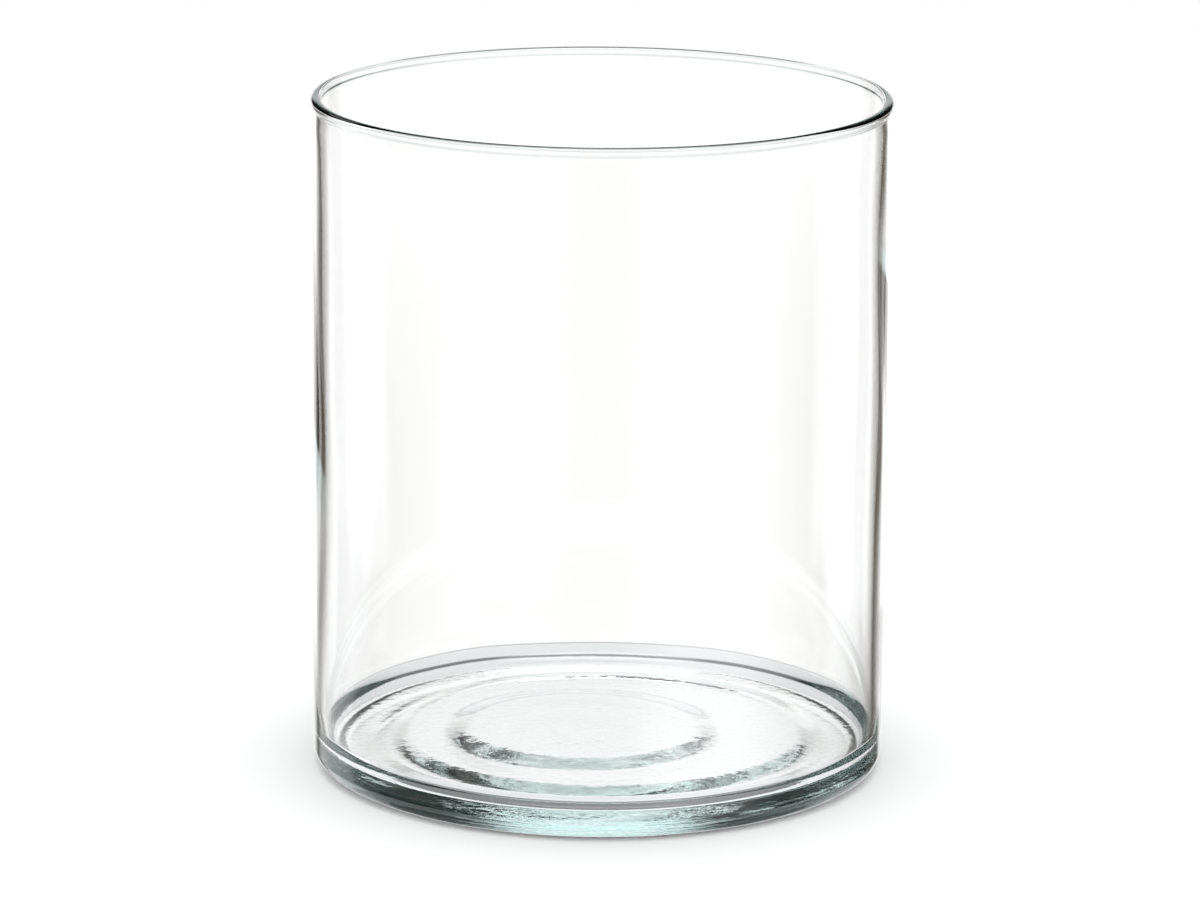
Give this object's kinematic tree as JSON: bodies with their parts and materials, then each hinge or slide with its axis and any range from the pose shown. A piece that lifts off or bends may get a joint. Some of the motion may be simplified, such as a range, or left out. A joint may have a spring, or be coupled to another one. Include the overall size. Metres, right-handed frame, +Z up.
{
  "type": "glass cylinder vase",
  "caption": "Open-topped clear glass cylinder with a rounded rim and a thick stepped base, for holding cut flowers and water.",
  "frame": {"origin": "middle of the resting face, on the vase's axis", "axes": "+Z up along the vase's axis, out of the mouth; +X to the right and -Y towards the viewer"},
  "size_m": [0.127, 0.127, 0.15],
  "materials": {
    "clear_glass": "clear soda-lime glass with a faint green-blue tint in its thick edges, fire-polished, gently uneven"
  },
  "bodies": {
    "root": {"vase": "clear_glass"}
  },
  "joints": []
}
